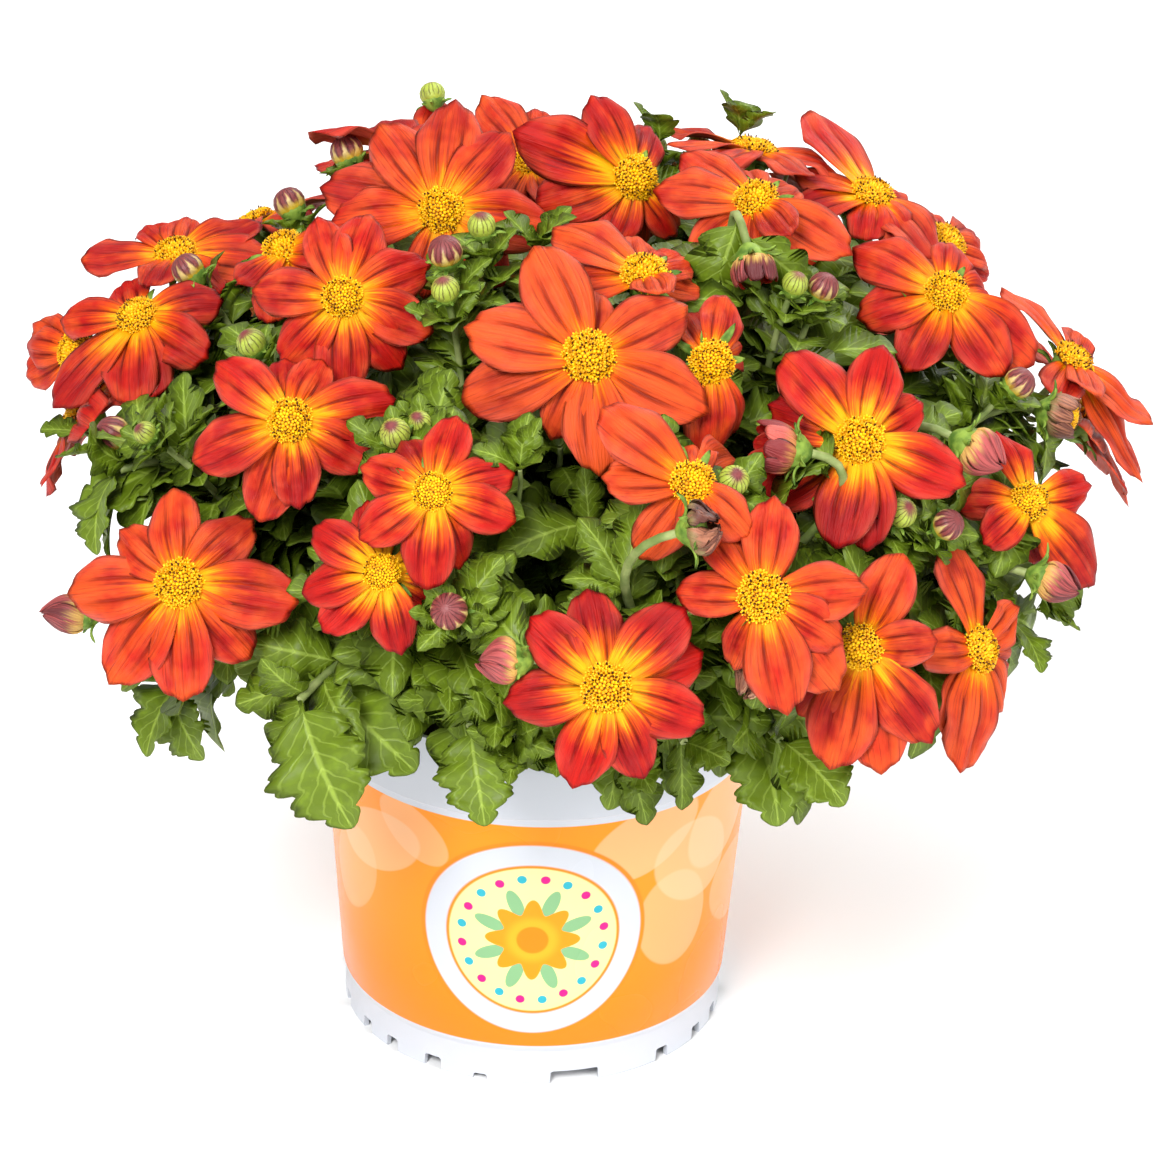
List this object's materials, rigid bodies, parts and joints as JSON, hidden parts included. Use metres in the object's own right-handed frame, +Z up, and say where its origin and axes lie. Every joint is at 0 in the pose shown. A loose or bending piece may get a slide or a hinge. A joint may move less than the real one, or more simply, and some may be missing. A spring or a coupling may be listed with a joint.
{
  "type": "potted flowering bidens",
  "caption": "Mound of open red-orange daisy-like blooms with yellow discs over lobed green leaves, in a round tapered plastic nursery pot with a notched foot.",
  "frame": {"origin": "on the resting plane, under the centre of the whole plant's bounding box; the pot's axis is 8 mm to -X of it", "axes": "+Z up, -Y towards the viewer of the printed side, +X to the viewer's right"},
  "size_m": [0.2993, 0.284, 0.2535],
  "materials": {
    "pot": "white moulded plastic, satin, with a printed band",
    "soil": "dark matte peat",
    "leaf": "matte green leaves and stems",
    "petal": "soft matte petals",
    "head": "matte wilted or folded petals"
  },
  "bodies": {
    "root": {"pot": "pot", "soil": "soil", "leafy_stem_1": "leaf", "leafy_stem_2": "leaf", "leafy_stem_3": "leaf", "leafy_stem_4": "leaf", "leafy_stem_5": "leaf", "leafy_stem_6": "leaf", "leafy_stem_7": "leaf", "leafy_stem_8": "leaf", "bloom_14": "petal", "bloom_11": "petal", "bloom_12": "petal", "bloom_13": "petal", "bloom_21": "petal", "bloom_22": "petal", "bloom_23": "petal", "bloom_15": "petal", "bloom_16": "petal", "bloom_09": "petal", "bloom_10": "petal", "bloom_19": "petal", "bloom_20": "petal", "bloom_18": "petal", "bloom_06": "petal", "bloom_17": "petal", "bloom_01": "petal", "bloom_04": "petal", "bloom_03": "petal", "bloom_02": "petal", "bloom_05": "petal", "bloom_07": "petal", "bloom_24": "petal", "bloom_25": "petal", "bloom_26": "petal", "bloom_27": "petal", "bloom_28": "petal", "bloom_30": "petal", "bloom_31": "petal", "bloom_back_1": "petal", "bloom_back_2": "petal", "bloom_back_3": "petal", "bloom_back_4": "petal", "bloom_back_5": "petal", "bloom_back_6": "petal", "bloom_back_7": "petal", "bloom_back_8": "petal", "bloom_back_9": "petal", "bloom_back_10": "petal", "bloom_back_11": "petal", "head_half_open": "head", "head_wilted_right": "head", "head_wilted_brown": "head", "head_opening_front": "head", "head_opening_left": "head", "head_opening_right": "head", "head_wilted_tan": "head", "head_wilted_top": "head", "head_turned": "head"}
  },
  "joints": []
}
